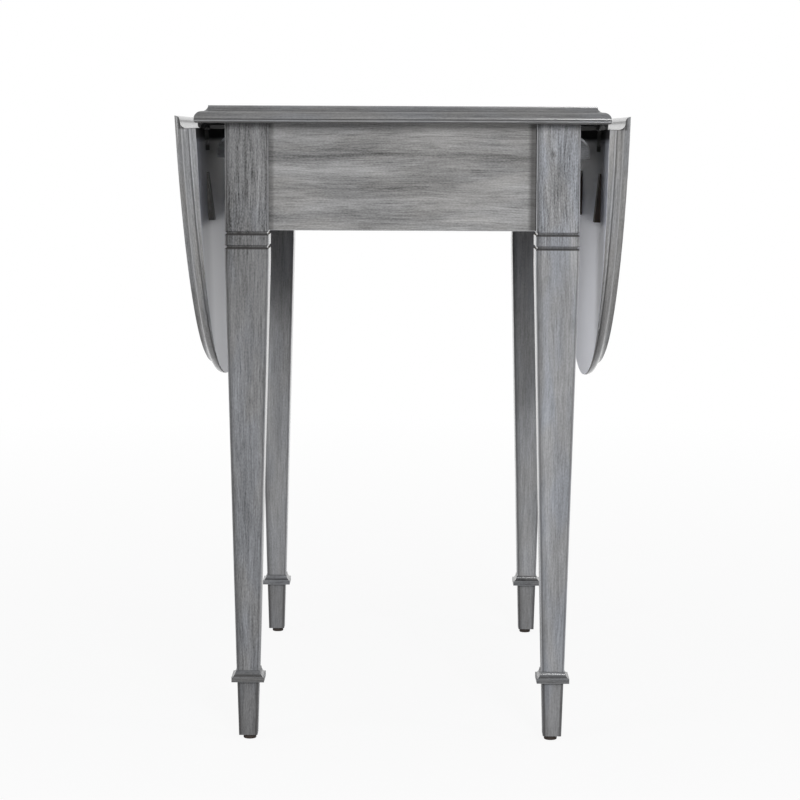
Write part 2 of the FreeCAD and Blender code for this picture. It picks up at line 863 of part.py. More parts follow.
def save_aprons_and_cleats():
    for side, side_name in side_names.items():
        save("apron_" + side_name, [side_apron(side)])
    for end, end_name in end_names.items():
        save("apron_" + end_name, [end_apron(end)])
        save("top_cleat_" + end_name, [cleat(end)])


def save_slides():
    for row, row_name in row_names.items():
        save("guide_keepers_" + row_name, guide_keepers(row))
        for side, side_name in side_names.items():
            place = row_name + "_" + side_name
            save("slide_" + place, [slide(side, row)])
            save("slide_stop_" + place, [stop_pin(side, row)])
            save("wedge_" + place, [hung(raised_wedge(side, row), side)])
    for number, rail in enumerate(guide_rails(), start=1):
        save("guide_rail_" + str(number), [rail])


def save_leaves_and_hinges():
    leaf = raised_leaf()
    for side, side_name in side_names.items():
        save("leaf_" + side_name, [hung(leaf, side)])
        save("hinge_screws_" + side_name, hinge_screws_in_leaf(side))
        for row, centre_y in hinge_centres():
            place = row_names[row] + "_" + side_name
            save("hinge_fixed_" + place, [to_side(fixed_hinge(centre_y), side)])
            save("hinge_moving_" + place, [hung(raised_moving_hinge(centre_y), side)])
            save("hinge_pin_" + place, [to_side(barrel(hinge_pin_r, hinge_span(centre_y)), side)])


os.makedirs("parts", exist_ok=True)
save("table_top", [table_top()])
save("hinge_screws_top", hinge_screws_in_top())
save("frame_screws", frame_screws())
save_corner_pieces()
save_aprons_and_cleats()
save_slides()
save_leaves_and_hinges()
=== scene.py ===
"""Looks of the drop-leaf side table: brushed grey wood, black hinges, plain studio.

Everything is in metres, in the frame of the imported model: X across the table, Y from
the front end to the back end, Z up, the origin on the floor under the middle of the top.
A fade is a pair of places, from where a mark is nothing to where it is full. A band is
the two ends of a mark and how soft they are. A tone is a share of full white.
"""
import json
import math

import bpy
from mathutils import Matrix, Vector


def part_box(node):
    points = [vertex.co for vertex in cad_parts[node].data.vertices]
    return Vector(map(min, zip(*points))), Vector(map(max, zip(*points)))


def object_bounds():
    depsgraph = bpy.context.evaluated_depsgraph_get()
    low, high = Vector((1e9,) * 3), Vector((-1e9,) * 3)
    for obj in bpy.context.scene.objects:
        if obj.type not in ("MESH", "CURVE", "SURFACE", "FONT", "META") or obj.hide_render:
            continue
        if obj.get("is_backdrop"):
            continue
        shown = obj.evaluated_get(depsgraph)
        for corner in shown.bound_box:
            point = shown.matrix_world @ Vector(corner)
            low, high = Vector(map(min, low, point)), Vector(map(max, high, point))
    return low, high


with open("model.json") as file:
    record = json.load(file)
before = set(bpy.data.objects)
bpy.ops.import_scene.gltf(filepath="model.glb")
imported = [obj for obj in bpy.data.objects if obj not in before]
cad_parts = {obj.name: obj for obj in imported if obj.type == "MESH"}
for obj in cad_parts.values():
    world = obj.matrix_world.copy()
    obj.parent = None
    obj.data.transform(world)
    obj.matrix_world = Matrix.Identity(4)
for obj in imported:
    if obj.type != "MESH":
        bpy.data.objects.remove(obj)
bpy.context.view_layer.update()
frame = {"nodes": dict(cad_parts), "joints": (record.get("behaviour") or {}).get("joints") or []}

mm = 0.001
nodes = frame["nodes"]
joints = {joint["name"]: joint for joint in frame["joints"]}
sides = {"left": -1, "right": 1}

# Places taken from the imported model
top_low, top_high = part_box("table_top")
leg_low, leg_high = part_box("leg_back_right")
collar_low, collar_high = (corner.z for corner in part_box("collar_back_right"))
apron_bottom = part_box("apron_front")[0].z
slide_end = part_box("slide_front_right")[1]
pin = Vector(joints["right_leaf_hinge"]["pos_m"])

# Sizes of the model that its boxes don't tell
upper_groove_below_apron = 1.0 * mm
groove_width = 3.2 * mm
groove_pitch = 13.6 * mm
taper_below_groove = 15.0 * mm
neck_half = 11.4 * mm
foot_half = 10.8 * mm
foot_end_half = 9.25 * mm
edge_moulding_width = 13 * mm
leaf_corner_r = 256 * mm
underside_taper = math.radians(1.6)
taper_start_drop = 26.0 * mm
pin_above_underside = 0.7 * mm
slide_nose_r = 18.0 * mm

# The paint of the grooves, the taper and the slides' noses lies this far under the model's own
paint_sag = 1.0 * mm

# Places worked out from those
leg_half = (leg_high.x - leg_low.x) / 2
upper_groove_top = apron_bottom - upper_groove_below_apron - paint_sag
grooves = [(top - groove_width, top) for top in (upper_groove_top, upper_groove_top - groove_pitch)]
taper_start = grooves[1][0] - taper_below_groove
shoulders = {"x": leg_low.x, "y": leg_low.y}
rim_corner_y = top_high.y - leaf_corner_r
rim_plain_reach = leaf_corner_r - edge_moulding_width
nose_centre = (slide_end.x - slide_nose_r, slide_end.z - slide_nose_r - paint_sag)

# Streaks in the wood: length along the grain, width across it, detail, step on from the seed
streak_looks = {
    "drift": (110 * mm, 28 * mm, 1, 0),
    "cloud": (130 * mm, 26 * mm, 1, 3),
    "band": (330 * mm, 11 * mm, 2, 5),
    "stroke": (75 * mm, 3.0 * mm, 2, 7),
    "hair": (20 * mm, 0.95 * mm, 2, 11),
    "speck": (2.4 * mm, 1.1 * mm, 1, 17),
    "tint": (70 * mm, 20 * mm, 1, 23),
    # breaks up the pale lines of wear and of painted highlight
    "rubbed": (30 * mm, 6 * mm, 2, 31),
    "plain_ring": (120 * mm, 3.0 * mm, 3, 0),
    "plain_hair": (16 * mm, 0.7 * mm, 1, 5),
}
drift_width = 9 * mm
broad_shares = {"cloud": 0.7, "band": 0.6}
fine_shares = {"stroke": 0.7, "hair": 1.0, "speck": 0.7}
relief_shares = {"hair": 0.62, "stroke": 0.3, "speck": 0.25}
pore_fade = (-0.12, -0.2)
pore_dark = 0.10
tint_fade = (-0.08, 0.1)
warm_tint = (1.03, 1.0, 0.955)
relief_range = (-0.12, 0.12)
relief_gloss = (0.56, 0.42)
line_break_fade = (-0.2, 0.05)
line_break_least = 0.45
palest_tone = 0.75
# Tint of the dark wax and of the painted shade
wax_and_shade_tint = (1.1, 1.0, 0.95)
coat_gloss = 0.16

# Plain wood: strength of its rings and hairs, and how far the rings change its roughness
plain_ring_share = 0.9
plain_hair_share = 0.5
plain_ring_range = (-0.15, 0.15)
plain_gloss_step = 0.06

# Bump of each surface, as its strength and depth, and how far the painted shade reaches out of the corners
bump_looks = {"wood": (0.3, 0.6 * mm), "plain": (0.25, 0.3 * mm), "iron": (0.2, 0.1 * mm),
              "zinc": (0.15, 0.05 * mm), "plastic": (0.3, 0.15 * mm)}
crevice_shade_reach = {"leg": 9 * mm, "collar": 8 * mm, "apron": 12 * mm, "top": 14 * mm, "leaf": 30 * mm}

# Strength of the grain on the legs' shafts and square heads
shaft_grain = 0.78
block_grain = 1.4

# Marks on the legs, in from an arris, inside a groove or down from the top
arris_wear_and_highlight = (1.2 * mm, 0.4 * mm)
arris_dark_band = (0.9 * mm, 2.4 * mm, 0.5 * mm)
left_edge_shade = (7.0 * mm, 0.5 * mm)
foot_edge_wax = (3.5 * mm, 0.5 * mm)
leg_top_shade = (2.5 * mm, 0.5 * mm)
groove_inset = 0.1 * mm
groove_shadow = 1.2 * mm
groove_soft = 0.2 * mm
groove_haze = 2.0 * mm
knot_squeeze = 1.3
knot_blur = 2 * mm
knot_core_share = 0.2

# Marks on the collars, up from their lower edge
collar_band_wear = (4.4 * mm, 5.4 * mm, 0.3 * mm)
collar_edge_wear = (-1 * mm, 0.6 * mm, 0.3 * mm)
collar_hollow_wax = (5.6 * mm, 7.0 * mm, 0.5 * mm)

# Marks on the aprons, in from the two legs, up from the lower edge or down from the top
apron_first_end_shadow_and_wax = (6.0 * mm, 3.5 * mm)
apron_last_end_shadow_and_wax = (8.5 * mm, 4.5 * mm)
apron_edge_wear = (-1 * mm, 0.8 * mm, 0.4 * mm)
apron_top_shade = (20 * mm, 2 * mm)

# Marks on the top, down from its flat, which is lighter than its moulding and as light as the leaves
flat_lightness = 1.5
flat_fade = (0.6 * mm, 0.1 * mm)
top_lip_wear = (3.5 * mm, 1.0 * mm)
top_step_shade = (4.0 * mm, 6.4 * mm, 0.5 * mm)
top_quirk_shade = (12.6 * mm, 14.0 * mm, 0.5 * mm)
top_bead_highlight = (14.0 * mm, 15.4 * mm, 0.4 * mm)
top_under_bead_shade = (15.6 * mm, 16.2 * mm)

# Marks on a leaf's moulding, out from the line of its hinge pins
leaf_bead_highlight = (4.4 * mm, 6.2 * mm, 0.6 * mm)
leaf_quirk_shade = (6.2 * mm, 8.2 * mm, 0.8 * mm)
leaf_lip_highlight = (12.6 * mm, 14.4 * mm, 0.7 * mm)

# A leaf's inner face: where it starts, its wash, and its shade out towards the ends and up to the flat
inner_face = (0.3 * mm, 0.1 * mm)
inner_tint = (0.97, 1.0, 1.13)
inner_cloud_scale = 9.0
inner_cloud_shares = (0.94, 1.06)
inner_end_shade = (165 * mm, 230 * mm)
inner_end_lightness = 0.7
inner_end_coat = 0.4
inner_top_shade = (115 * mm, 35 * mm)
inner_top_lightness = 0.6
inner_relief_share = 0.1
inner_gloss = 0.4
inner_coat_gloss = 0.42

# A leaf's painted shade by the hinges and in the joint with the top, and the dull part of the joint
hinge_edge_shade = (16.0 * mm, 10.0 * mm)
hollow_drop = (3.0 * mm, 1.0 * mm)
hollow_thickness = (18.0 * mm, 16.0 * mm)
dull_slant = 11.9
dull_start = (-286 * mm, -276 * mm)
dull_coat_fade = (0.1, 0.8)
left_gap = (-160 * mm, -122 * mm)
gap_soft = 3 * mm

# The painted highlight along a slide's nose: in from its arc, and up from the arc's centre
nose_highlight_inset = (1.6 * mm, 0.8 * mm)
nose_highlight_rise = (8 * mm, 13 * mm)

# Metal and plastic: a scale is how many spots of noise go into a metre
noise_range = (0.3, 0.7)
iron_speck_scale = 900.0
iron_roughness = (0.46, 0.6)
iron_tones = (0.006, 0.014)
iron_edge_r = 0.4 * mm
iron_edge_turn = (0.99, 0.88)
iron_edge_break = (0.4, 0.6)
iron_edge_tone = 0.08
zinc_scratch_scale = 700.0
zinc_scratch_squeeze = 8.0
zinc_roughness = (0.25, 0.42)
zinc_greys = ((0.42, 0.01), (0.62, 0.015))
plastic_speck_scale = 600.0
plastic_roughness = (0.45, 0.58)

# Looks of each leg. Contrast is the grain's strength, cool turns the wood blue, warm its
# patches brown, and fade makes it lighter at the collar and darker at the top. A knot is
# the place of its centre across and up, and its radius.
leg_looks = {
    "front_left": {"tone": 0.157, "contrast": 1.6, "cool": 0.032, "warm": 0.45, "fade": 0.2},
    "front_right": {"tone": 0.24, "contrast": 1.1, "cool": 0.045, "warm": 0.5, "fade": 0.0,
                    "knot": (148 * mm, 589 * mm, 5.0 * mm)},
    # On the back legs the fade is painted shade under the front apron
    "back_left": {"tone": 0.235, "contrast": 1.0, "cool": 0.02, "warm": 0.3, "fade": 0.1},
    "back_right": {"tone": 0.25, "contrast": 1.0, "cool": 0.02, "warm": 0.3, "fade": 0.12},
}
collar_tones = {"front_left": 0.096, "front_right": 0.105, "back_left": 0.13, "back_right": 0.13}
# The two slides are one wood: their tones differ as painted light, the left lighter against the shade it
# stands in
slide_painted_light_tones = {"left": 0.33, "right": 0.16}
bare_tint = (0.42, 0.31, 0.20, 1.0)
wedge_tints = {"left": (0.020, 0.017, 0.015, 1.0), "right": (0.050, 0.030, 0.020, 1.0)}
plastic_tints = ((0.020, 0.013, 0.010, 1.0), (0.045, 0.030, 0.023, 1.0))
white = (1.0, 1.0, 1.0, 1.0)

# Seeds of the noise, a step apart from one leg or collar to the next
leg_seed = 10
leg_seed_step = 9
collar_seed = 50
collar_seed_step = 7
slide_seed = 210
wedge_seeds = {"left": 220, "right": 225}

# Floor: matt as a source of light, pale to the camera, and glowing more with the distance
floor_half = 12.0
floor_behind = (0.2, 1.5)
floor_glow_reach = (0.5, 2.6)
floor_glow_least = 0.91
floor_matt = (0.62, 0.62, 0.63, 1.0)
floor_pale = (0.80, 0.80, 0.81, 1.0)

# Surround: its light on the table from low to high, and what glossy surfaces see in front. The
# heights and depths are those of the direction looked in.
ambient = 0.40
ambient_low_share = 0.7
ambient_high_share = 1.25
ambient_low_height = -0.2
ambient_high_height = 0.9
front_gloss = 0.25
front_depth = -0.3
behind_depth = 0.2

# Lamps: place, width and power in watts, all aimed at one point
lamp_aim = (0.0, 0.0, 0.35)
lamps = {
    "key": ((0.75, -3.6, 1.35), 0.7, 62.0),
    "side_right": ((2.8, -1.6, 1.3), 0.7, 12.0),
    "side_left": ((-2.4, -2.4, 0.9), 1.2, 25.0),
}

# Camera of the photograph, in pixels, degrees and millimetres of film
picture_px = 800
focal_px = 2466
shift_px = 30
film_width = 36.0
camera_place = (4.2 * mm, -2719.5 * mm, 604.2 * mm)
camera_pitch = math.radians(5.38)
camera_yaw = math.radians(0.138)
camera_roll = math.radians(0.244)


# Building shader trees

class Tree:
    """Adds nodes to one material and links them."""

    def __init__(self, name):
        self.material = bpy.data.materials.new(name)
        self.material.use_nodes = True
        self.tree = self.material.node_tree
        self.tree.nodes.clear()

    def feed(self, socket, value):
        """Link a socket to another one, or set it to a plain value."""
        if isinstance(value, bpy.types.NodeSocket):
            self.tree.links.new(value, socket)
        else:
            socket.default_value = value

    def add(self, kind, inputs=None, **settings):
        node = self.tree.nodes.new("ShaderNode" + kind)
        for key, value in settings.items():
            setattr(node, key, value)
        for key, value in (inputs or {}).items():
            self.feed(node.inputs[key], value)
        return node

    def calc(self, operation, first, second=0.0):
        return self.add("Math", {0: first, 1: second}, operation=operation).outputs[0]

    def plus(self, *values):
        total = values[0]
        for value in values[1:]:
            total = self.calc("ADD", total, value)
        return total

    def times(self, *values):
        total = values[0]
        for value in values[1:]:
            total = self.calc("MULTIPLY", total, value)
        return total

    def minus(self, first, second):
        return self.calc("SUBTRACT", first, second)

    def size_of(self, value):
        return self.calc("ABSOLUTE", value)

    def larger(self, first, second):
        return self.calc("MAXIMUM", first, second)

    def length(self, first, second):
        """Long side of a right triangle."""
        return self.calc("SQRT", self.plus(self.times(first, first), self.times(second, second)))

    def spread(self, value, low, high, to_low=0.0, to_high=1.0):
        """Value carried from one range to another and held inside it."""
        return self.add("MapRange", {"Value": value, "From Min": low, "From Max": high,
                                     "To Min": to_low, "To Max": to_high}).outputs[0]

    def between(self, value, low, high, soft):
        """One inside a band, nought outside, with soft ends."""
        rise = self.spread(value, low - soft, low + soft)
        fall = self.spread(value, high - soft, high + soft, 1.0, 0.0)
        return self.times(rise, fall)

    def mix(self, share, first, second, how="MIX"):
        """Colour between two others."""
        node = self.add("Mix", data_type="RGBA", blend_type=how)
        self.feed(node.inputs["Factor"], share)
        self.feed(node.inputs[6], first)
        self.feed(node.inputs[7], second)
        return node.outputs[2]

    def choose(self, share, first, second):
        """Number between two others."""
        node = self.add("Mix", data_type="FLOAT")
        self.feed(node.inputs["Factor"], share)
        self.feed(node.inputs[2], first)
        self.feed(node.inputs[3], second)
        return node.outputs[0]

    def join(self, x, y, z):
        return self.add("CombineXYZ", {0: x, 1: y, 2: z}).outputs[0]

    def shade(self, colour, factor):
        return self.mix(1.0, colour, self.join(factor, factor, factor), "MULTIPLY")

    def noise(self, vector, detail=2.0, roughness=0.5, scale=1.0):
        return self.add("TexNoise", {"Vector": vector, "Scale": scale, "Detail": detail,
                                     "Roughness": roughness}).outputs[0]

    def streaks(self, place, kind, seed):
        """Noise about nought whose spots are long along the grain and narrow across it."""
        along, across, depth = place
        length, width, detail, step = streak_looks[kind]
        vector = self.join(self.plus(self.times(along, 1 / length), seed + step),
                           self.times(across, 1 / width), self.times(depth, 1 / width))
        return self.minus(self.noise(vector, detail), 0.5)

    def bump(self, height, surface):
        strength, depth = bump_looks[surface]
        return self.add("Bump", {"Height": height, "Strength": strength, "Distance": depth}).outputs[0]

    def model_place(self):
        """Place of the point in the model's own frame."""
        return self.add("TexCoord").outputs["Object"]

    def place(self):
        """The same place as X, Y and Z."""
        split = self.add("SeparateXYZ", {0: self.model_place()})
        return split.outputs[0], split.outputs[1], split.outputs[2]

    def done(self, **inputs):
        """Shader with these inputs, and the finished material."""
        shader = self.add("BsdfPrincipled", {key.replace("_", " "): value for key, value in inputs.items()})
        self.add("OutputMaterial", {"Surface": shader.outputs[0]})
        return self.material


def grey(value, cool=0.0):
    """Grey of one lightness, turned towards blue by a share."""
    return (value * (1 - cool), value, value * (1 + cool * 2), 1.0)


def tinted(value, tint):
    """Colour of one lightness, with a share of it for red, green and blue."""
    return (*(value * share for share in tint), 1.0)


# Wood

class Wood:
    """Grey washed wood that was brushed along its grain: colour, height and gloss."""

    def __init__(self, t, place, tone, seed, contrast=1.0, cool=0.02, warm=0.6, broad=1.0):
        along, across, depth = place
        drift = t.streaks(place, "drift", seed)
        place = (along, t.plus(across, t.times(drift, drift_width)), depth)
        grain = {kind: t.streaks(place, kind, seed) for kind in (*broad_shares, *fine_shares, "tint")}
        relief = t.plus(*(t.times(grain[kind], share) for kind, share in relief_shares.items()))
        light = t.plus(*(t.times(grain[kind], share * broad) for kind, share in broad_shares.items()),
                       *(t.times(grain[kind], share) for kind, share in fine_shares.items()))
        pores = t.spread(grain["hair"], *pore_fade)
        light = t.minus(light, t.times(pores, pore_dark))
        light = t.plus(t.times(light, contrast), 1.0)
        base = t.mix(t.spread(grain["tint"], *tint_fade, 0.0, warm), grey(tone, cool),
                     tinted(tone, warm_tint))
        self.t = t
        self.seed = seed
        self.place = place
        self.tone = tone
        self.speck = grain["speck"]
        self.relief = relief
        self.colour = t.shade(base, light)
        self.gloss = t.spread(relief, *relief_range, *relief_gloss)

    def wear_and_highlight(self, share, strength=1.0, gain=2.0):
        """Pale line, broken along its length: wash rubbed thin, and painted highlight on arrises, beads,
        lips and noses.
        """
        t = self.t
        broken = t.spread(t.streaks(self.place, "rubbed", self.seed), *line_break_fade, line_break_least, 1.0)
        share = t.times(share, broken, strength)
        self.colour = t.mix(share, self.colour, grey(min(self.tone * gain, palest_tone), cool=0.02))

    def wax_and_shade(self, share, strength=1.0, dark=0.02):
        """Darker colour: dark wax, and painted shade in grooves, corners and under things."""
        share = self.t.times(share, strength)
        self.colour = self.t.mix(share, self.colour, tinted(dark, wax_and_shade_tint))

    def crevice_shade(self, piece, strength, low=0.25, high=0.75):
        """Painted shade wherever two faces meet, darker where the surfaces close it in."""
        shade = self.t.add("AmbientOcclusion", {"Distance": crevice_shade_reach[piece]}, samples=8)
        self.wax_and_shade(self.t.spread(shade.outputs["AO"], high, low), strength)

    def finish(self, coat=1.0, coat_roughness=coat_gloss):
        """Material of the wood under a thin coat of lacquer."""
        return self.t.done(Base_Color=self.colour, Roughness=self.gloss,
                           Normal=self.t.bump(self.relief, "wood"), Specular_IOR_Level=0.3,
                           Coat_Weight=coat, Coat_Roughness=coat_roughness, Coat_IOR=1.4)


def leg_wood(name, seed, centre, tone, contrast, cool, warm, fade, knot=None):
    """Upright grain; pale arrises from wear and painted highlight; dark wax and painted shade in the two
    grooves; painted shade under the top, on the left edges and in the corners.
    """
    t = Tree(name)
    x, y, z = t.place()
    across = t.size_of(t.minus(x, centre.x))
    depth = t.size_of(t.minus(y, centre.y))
    grooves_low = grooves[1][0]
    grooves_high = grooves[0][1]
    grain = t.spread(z, taper_start, grooves_high, contrast * shaft_grain, contrast * block_grain)
    wood = Wood(t, (z, x, y), tone, seed, contrast=grain, cool=cool, warm=warm)
    foot = t.calc("LESS_THAN", z, collar_low)
    lightness = t.spread(z, collar_high, top_low.z, 1.0 + fade, 1.0 - fade)
    wood.colour = t.shade(wood.colour, t.choose(foot, lightness, 1.0))
    shaft_half = t.spread(z, collar_high, taper_start, neck_half, leg_half)
    half = t.choose(foot, shaft_half, t.spread(z, leg_low.z, collar_low, foot_end_half, foot_half))
    from_arris = t.minus(half, t.calc("MINIMUM", across, depth))
    from_left = t.plus(t.minus(x, centre.x), half)
    end_face = t.calc("GREATER_THAN", depth, across)
    # Painted shade: each leg's front and back faces darken towards their left edge
    wood.wax_and_shade(t.times(end_face, t.spread(from_left, *left_edge_shade)), strength=0.5)
    # A dark band in from each arris, and a pale line on the arris itself: wear and painted highlight
    wood.wax_and_shade(t.between(from_arris, *arris_dark_band), strength=0.4)
    wood.wear_and_highlight(t.spread(from_arris, *arris_wear_and_highlight), strength=0.6)
    if knot:
        knot_x, knot_z, knot_r = knot
        away = t.length(t.times(t.minus(x, knot_x), knot_squeeze), t.minus(z, knot_z))
        away = t.plus(away, t.times(wood.speck, knot_blur))
        wood.wax_and_shade(t.spread(away, knot_r, knot_core_share * knot_r), strength=0.6)
    # Dark wax and painted shade in the two grooves, and faintly between them
    wood.wax_and_shade(t.between(z, grooves_low, grooves_high, groove_haze), strength=0.12)
    for low, high in grooves:
        bottom = low + groove_inset
        wood.wax_and_shade(t.between(z, bottom, high - groove_inset, groove_soft), strength=0.65)
        wood.wax_and_shade(t.between(z, bottom, low + groove_shadow, groove_soft), strength=0.85)
    # Painted shade just under the top
    wood.wax_and_shade(t.spread(t.minus(top_low.z, z), *leg_top_shade), strength=0.4)
    wood.wax_and_shade(foot, strength=0.22)
    wood.wax_and_shade(t.times(foot, t.spread(from_arris, *foot_edge_wax)), strength=0.6)
    wood.crevice_shade("leg", strength=0.6)
    return wood.finish()


def collar_wood(name, tone, seed):
    """Grain across the table on all four strips, rubbed edges on the flat band, wax in the hollow above."""
    t = Tree(name)
    x, y, z = t.place()
    height = t.minus(z, collar_low)
    wood = Wood(t, (x, z, y), tone, seed, contrast=1.4, cool=0.03)
    wood.wear_and_highlight(t.between(height, *collar_band_wear), strength=0.7)
    wood.wear_and_highlight(t.between(height, *collar_edge_wear), strength=0.6)
    wood.wax_and_shade(t.between(height, *collar_hollow_wax), strength=0.5)
    wood.crevice_shade("collar", strength=0.85)
    return wood.finish()


def apron_wood(name, grain, tone, seed):
    """Grain along the rail, painted shadow of the legs with dark wax at its ends, and painted shade under
    the top.
    """
    t = Tree(name)
    x, y, z = t.place()
    along, across = (x, y) if grain == "x" else (y, x)
    wood = Wood(t, (along, z, across), tone, seed, contrast=1.1, cool=0.0, warm=0.4, broad=1.9)
    shoulder = shoulders[grain]
    # Painted shadow of the legs on the rail's two ends, with dark wax in the corners
    wood.wax_and_shade(t.spread(t.plus(along, shoulder), *apron_first_end_shadow_and_wax), strength=0.35)
    wood.wax_and_shade(t.spread(t.minus(shoulder, along), *apron_last_end_shadow_and_wax), strength=0.75)
    wood.wear_and_highlight(t.between(t.minus(z, apron_bottom), *apron_edge_wear), strength=0.35)
    # Painted shade under the top
    wood.wax_and_shade(t.spread(t.minus(top_low.z, z), *apron_top_shade), strength=0.05)
    wood.crevice_shade("apron", strength=0.2)
    return wood.finish()


def top_wood(name, tone, seed):
    """Grain along the table on the flat, along the edge on its two moulded ends."""
    t = Tree(name)
    x, y, z = t.place()
    under_flat = t.minus(top_high.z, z)
    end_band = t.calc("GREATER_THAN", t.size_of(y), top_high.y - edge_moulding_width)
    place = (t.choose(end_band, y, x), t.choose(end_band, x, y), z)
    wood = Wood(t, place, tone, seed, contrast=0.9, warm=0.5)
    # Painted shade at the moulding's step, in the quirk over the bead and under the bead, and a painted
    # highlight along the bead
    wood.wax_and_shade(t.between(under_flat, *top_step_shade), strength=0.12)
    wood.wear_and_highlight(t.spread(under_flat, *top_lip_wear), strength=t.times(end_band, 0.3), gain=1.6)
    wood.wax_and_shade(t.between(under_flat, *top_quirk_shade), strength=0.2)
    wood.wear_and_highlight(t.between(under_flat, *top_bead_highlight), strength=0.32, gain=2.2)
    wood.wax_and_shade(t.spread(under_flat, *top_under_bead_shade), strength=0.8)
    wood.crevice_shade("top", strength=0.6)
    wood.colour = t.shade(wood.colour, t.spread(under_flat, *flat_fade, 1.0, flat_lightness))
    return wood.finish()


def leaf_wood(side_name, tone, seed, inner_tone, gap=None):
    """Grain along the table on the show face, along the rim on its moulding, plain wash inside."""
    t = Tree("leaf_wood_" + side_name)
    x, y, z = t.place()

    # Down the hanging leaf from its pins, through it from the pins, and round its rim
    tilt = math.radians(joints[side_name + "_leaf_hinge"]["range_deg"][1] - 90)
    out = t.minus(t.times(x, sides[side_name]), pin.x)
    down = t.minus(pin.z, z)
    drop = t.minus(t.times(down, math.cos(tilt)), t.times(out, math.sin(tilt)))
    thickness = t.plus(t.times(out, math.cos(tilt)), t.times(down, math.sin(tilt)))
    past_taper = t.larger(t.minus(drop, taper_start_drop), 0.0)
    underside = t.minus(t.times(past_taper, math.tan(underside_taper)), pin_above_underside)
    reach = t.length(t.larger(t.minus(t.size_of(y), rim_corner_y), 0.0), drop)
    turn = t.times(t.calc("ARCTAN2", y, drop), leaf_corner_r)
    rim = t.calc("GREATER_THAN", reach, rim_plain_reach)

    # Show face and moulding
    place = (t.choose(rim, y, turn), t.choose(rim, drop, reach), thickness)
    wood = Wood(t, place, tone, seed, cool=0.015)
    # Painted shade in the quirk, and painted highlights along the bead and the lip
    wood.wax_and_shade(t.between(thickness, *leaf_quirk_shade), strength=0.22)
    wood.wear_and_highlight(t.between(thickness, *leaf_bead_highlight), strength=0.35, gain=2.2)
    wood.wear_and_highlight(t.between(thickness, *leaf_lip_highlight), strength=0.25)

    # Inner face, with painted shade towards its ends and the hinges
    inside = t.spread(t.minus(thickness, underside), *inner_face)
    near_end = t.times(inside, t.spread(t.size_of(y), *inner_end_shade))
    cloud = t.noise(t.join(x, y, z), detail=3.0, scale=inner_cloud_scale)
    plain = t.mix(cloud, *(tinted(inner_tone * share, inner_tint) for share in inner_cloud_shares))
    top_shade = t.spread(t.minus(top_high.z, z), *inner_top_shade, 1.0, inner_top_lightness)
    end_shade = t.spread(near_end, 0.0, 1.0, 1.0, inner_end_lightness)
    plain = t.shade(plain, t.times(top_shade, end_shade))
    wood.colour = t.mix(inside, wood.colour, plain)
    wood.relief = t.times(wood.relief, t.choose(inside, 1.0, inner_relief_share))
    wood.gloss = t.choose(inside, wood.gloss, inner_gloss)

    # Painted shade beside the hinges and in the joint, dull but for the stretches that catch the light
    hinge_shade = t.times(inside, t.spread(drop, *hinge_edge_shade))
    hollow = t.times(t.spread(drop, *hollow_drop), t.spread(thickness, *hollow_thickness))
    wood.wax_and_shade(t.larger(hollow, hinge_shade), strength=0.95, dark=0.008)
    wood.crevice_shade("leaf", strength=0.6, low=0.1, high=0.55)
    dull = t.times(hollow, t.spread(t.minus(y, t.times(thickness, dull_slant)), *dull_start))
    if gap:
        dull = t.times(dull, t.spread(t.between(y, *gap, gap_soft), 0.0, 1.0, 1.0, 0.0))
    dull = t.larger(dull, hinge_shade)
    wood.gloss = t.choose(dull, wood.gloss, 1.0)
    end_coat = t.spread(near_end, 0.0, 1.0, 1.0, inner_end_coat)
    coat = t.times(t.spread(dull, *dull_coat_fade, 1.0, 0.0), end_coat)
    return wood.finish(coat, t.choose(inside, coat_gloss, inner_coat_gloss))


def slide_wood(side_name, tone):
    """Washed bar with a painted highlight along the curve of its rounded nose."""
    t = Tree("slide_wood_" + side_name)
    x, y, z = t.place()
    wood = Wood(t, (x, z, y), tone, slide_seed, cool=0.03, warm=0.3)
    nose_x, nose_z = nose_centre
    past = t.larger(t.minus(t.times(x, sides[side_name]), nose_x), 0.0)
    rise = t.larger(t.minus(z, nose_z), 0.0)
    inset = t.minus(slide_nose_r, t.length(past, rise))
    wood.wear_and_highlight(t.times(t.spread(inset, *nose_highlight_inset), t.spread(rise, *nose_highlight_rise)), gain=5.0)
    return wood.finish(coat=0.3)


def plain_wood(name, tint, grain, seed, gloss=0.55):
    """Sanded inner wood with a soft grain."""
    t = Tree(name)
    x, y, z = t.place()
    place = {"x": (x, y, z), "z": (z, x, y)}[grain]
    ring = t.streaks(place, "plain_ring", seed)
    hair = t.streaks(place, "plain_hair", seed)
    light = t.plus(1.0, t.times(ring, plain_ring_share), t.times(hair, plain_hair_share))
    roughness = t.spread(ring, *plain_ring_range, gloss + plain_gloss_step, gloss - plain_gloss_step)
    return t.done(Base_Color=t.shade(tint, light), Normal=t.bump(hair, "plain"), Roughness=roughness)


# Metal and plastic

def black_iron(name):
    """Black lacquered steel, rubbed a little on its edges."""
    t = Tree(name)
    speck = t.noise(t.model_place(), detail=3.0, roughness=0.6, scale=iron_speck_scale)
    rounded = t.add("Bevel", {"Radius": iron_edge_r}, samples=4)
    flat = t.add("NewGeometry").outputs["Normal"]
    facing = t.add("VectorMath", {0: rounded.outputs[0], 1: flat}, operation="DOT_PRODUCT").outputs["Value"]
    edge = t.times(t.spread(facing, *iron_edge_turn), t.spread(speck, *iron_edge_break))
    colour = t.mix(edge, t.mix(speck, *(grey(tone) for tone in iron_tones)), grey(iron_edge_tone))
    return t.done(Base_Color=colour, Roughness=t.spread(speck, *noise_range, *iron_roughness),
                  Normal=t.bump(speck, "iron"))


